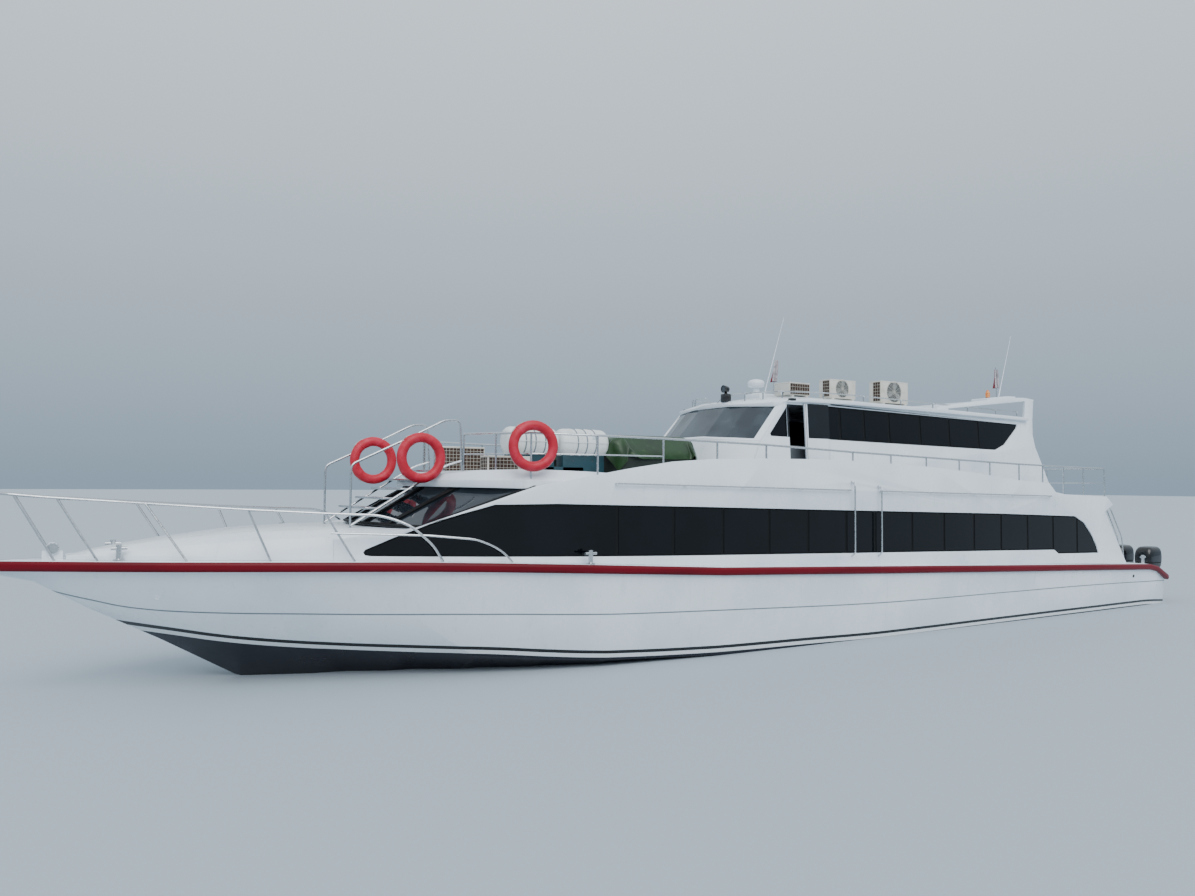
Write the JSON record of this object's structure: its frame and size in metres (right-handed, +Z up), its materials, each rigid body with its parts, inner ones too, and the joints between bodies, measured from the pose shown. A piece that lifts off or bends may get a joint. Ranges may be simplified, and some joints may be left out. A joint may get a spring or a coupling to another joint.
{
  "type": "passenger ferry",
  "caption": "Fast passenger ferry with a long glazed saloon, a wheelhouse on the upper deck, stainless rails and outboard motors that tilt, steer and turn.",
  "frame": {"origin": "amidships on the centreline, at the waterline", "axes": "+X to the bow, +Y to port, +Z up"},
  "size_m": [24.9827, 5.11, 7.2037],
  "materials": {
    "gelcoat": "white gel-coat over fibreglass",
    "red_rubber": "satin red",
    "dark_glass": "black tinted",
    "screen_glass": "grey tinted",
    "stainless": "polished stainless steel",
    "buoy_red": "faded red-orange cover",
    "unit_grey": "beige-grey, weathered",
    "rusty_grey": "grey with rust",
    "black_paint": "gloss black",
    "cast_alloy": "painted casting",
    "tarp": "green coated cloth",
    "seat_vinyl": "blue vinyl"
  },
  "bodies": {
    "boat": {"hull": "gelcoat", "foredeck_trunk": "gelcoat", "main_roof": "gelcoat", "windscreen_frame": "gelcoat", "aft_bulkhead": "gelcoat", "wheelhouse_front": "gelcoat", "roof_wing": "gelcoat", "upper_bulkhead": "gelcoat", "upper_roof": "gelcoat", "life_rafts": "gelcoat", "mast_fore": "gelcoat", "mast_aft": "gelcoat", "cabin_side_port": "gelcoat", "cabin_side_starboard": "gelcoat", "wheelhouse_side_port": "gelcoat", "wheelhouse_side_starboard": "gelcoat", "rub_rail": "red_rubber", "cabin_glass_port": "dark_glass", "cabin_glass_starboard": "dark_glass", "wheelhouse_glass_port": "dark_glass", "wheelhouse_glass_starboard": "dark_glass", "quarter_glass_port": "dark_glass", "quarter_glass_starboard": "dark_glass", "windscreen_glass": "screen_glass", "wheelhouse_windshield": "screen_glass", "bow_rail": "stainless", "deck_rail_port": "stainless", "deck_rail_starboard": "stainless", "stern_rail": "stainless", "boarding_stair": "stainless", "life_ring_1": "buoy_red", "life_ring_2": "buoy_red", "life_ring_3": "buoy_red", "ac_unit_1": "unit_grey", "ac_unit_2": "unit_grey", "ac_unit_3": "unit_grey", "condenser_1": "rusty_grey", "condenser_2": "rusty_grey", "helm_station": "black_paint", "outboard_brackets": "cast_alloy", "raft_cover": "tarp", "saloon_seats": "seat_vinyl"},
    "aft_door": {"aft_door": "gelcoat"},
    "upper_door": {"upper_door": "gelcoat"},
    "wheelhouse_door_port": {"wheelhouse_door_port": "gelcoat"},
    "wheelhouse_door_starboard": {"wheelhouse_door_starboard": "gelcoat"},
    "searchlight_head": {"searchlight_head": "black_paint"},
    "swivel_1": {"swivel_1": "cast_alloy"},
    "motor_1": {"motor_1": "black_paint"},
    "propeller_1": {"propeller_1": "stainless"},
    "swivel_2": {"swivel_2": "cast_alloy"},
    "motor_2": {"motor_2": "black_paint"},
    "propeller_2": {"propeller_2": "stainless"},
    "swivel_3": {"swivel_3": "cast_alloy"},
    "motor_3": {"motor_3": "black_paint"},
    "propeller_3": {"propeller_3": "stainless"},
    "swivel_4": {"swivel_4": "cast_alloy"},
    "motor_4": {"motor_4": "black_paint"},
    "propeller_4": {"propeller_4": "stainless"}
  },
  "joints": [
    {"name": "aft_door_hinge", "type": "hinge", "parent": "boat", "child": "aft_door", "pos_m": [-9.6123, -0.397, 1.485], "axis": [0, 0, 1], "range_deg": [0, 110]},
    {"name": "upper_door_hinge", "type": "hinge", "parent": "boat", "child": "upper_door", "pos_m": [-7.3523, -0.337, 3.372], "axis": [0, 0, 1], "range_deg": [0, 110]},
    {"name": "side_door_port_slide", "type": "slide", "parent": "boat", "child": "wheelhouse_door_port", "axis": [1, 0, 0], "range_m": [0, 0.38]},
    {"name": "side_door_starboard_slide", "type": "slide", "parent": "boat", "child": "wheelhouse_door_starboard", "axis": [1, 0, 0], "range_m": [0, 0.38]},
    {"name": "searchlight_pan", "type": "hinge", "parent": "boat", "child": "searchlight_head", "pos_m": [0.15, 0.33, 4.58], "axis": [0, 0, 1], "range_deg": [-170, 170]},
    {"name": "tilt_1", "type": "hinge", "parent": "boat", "child": "swivel_1", "pos_m": [-12.1, 1.7, 0.65], "axis": [0, 1, 0], "range_deg": [0, 60]},
    {"name": "steer_1", "type": "hinge", "parent": "swivel_1", "child": "motor_1", "pos_m": [-12.22, 1.7, 0.455], "axis": [0, 0, 1], "range_deg": [-30, 30]},
    {"name": "spin_1", "type": "hinge", "parent": "motor_1", "child": "propeller_1", "pos_m": [-12.79, 1.7, -0.56], "axis": [1, 0, 0], "continuous": true},
    {"name": "tilt_2", "type": "hinge", "parent": "boat", "child": "swivel_2", "pos_m": [-12.1, 1.02, 0.65], "axis": [0, 1, 0], "range_deg": [0, 60]},
    {"name": "steer_2", "type": "hinge", "parent": "swivel_2", "child": "motor_2", "pos_m": [-12.22, 1.02, 0.455], "axis": [0, 0, 1], "range_deg": [-30, 30]},
    {"name": "spin_2", "type": "hinge", "parent": "motor_2", "child": "propeller_2", "pos_m": [-12.79, 1.02, -0.56], "axis": [1, 0, 0], "continuous": true},
    {"name": "tilt_3", "type": "hinge", "parent": "boat", "child": "swivel_3", "pos_m": [-12.1, -1.02, 0.65], "axis": [0, 1, 0], "range_deg": [0, 60]},
    {"name": "steer_3", "type": "hinge", "parent": "swivel_3", "child": "motor_3", "pos_m": [-12.22, -1.02, 0.455], "axis": [0, 0, 1], "range_deg": [-30, 30]},
    {"name": "spin_3", "type": "hinge", "parent": "motor_3", "child": "propeller_3", "pos_m": [-12.79, -1.02, -0.56], "axis": [1, 0, 0], "continuous": true},
    {"name": "tilt_4", "type": "hinge", "parent": "boat", "child": "swivel_4", "pos_m": [-12.1, -1.7, 0.65], "axis": [0, 1, 0], "range_deg": [0, 60]},
    {"name": "steer_4", "type": "hinge", "parent": "swivel_4", "child": "motor_4", "pos_m": [-12.22, -1.7, 0.455], "axis": [0, 0, 1], "range_deg": [-30, 30]},
    {"name": "spin_4", "type": "hinge", "parent": "motor_4", "child": "propeller_4", "pos_m": [-12.79, -1.7, -0.56], "axis": [1, 0, 0], "continuous": true}
  ],
  "couplings": [
    {"joint": "steer_2", "follows": "steer_1", "ratio": 1},
    {"joint": "steer_3", "follows": "steer_1", "ratio": 1},
    {"joint": "steer_4", "follows": "steer_1", "ratio": 1}
  ]
}
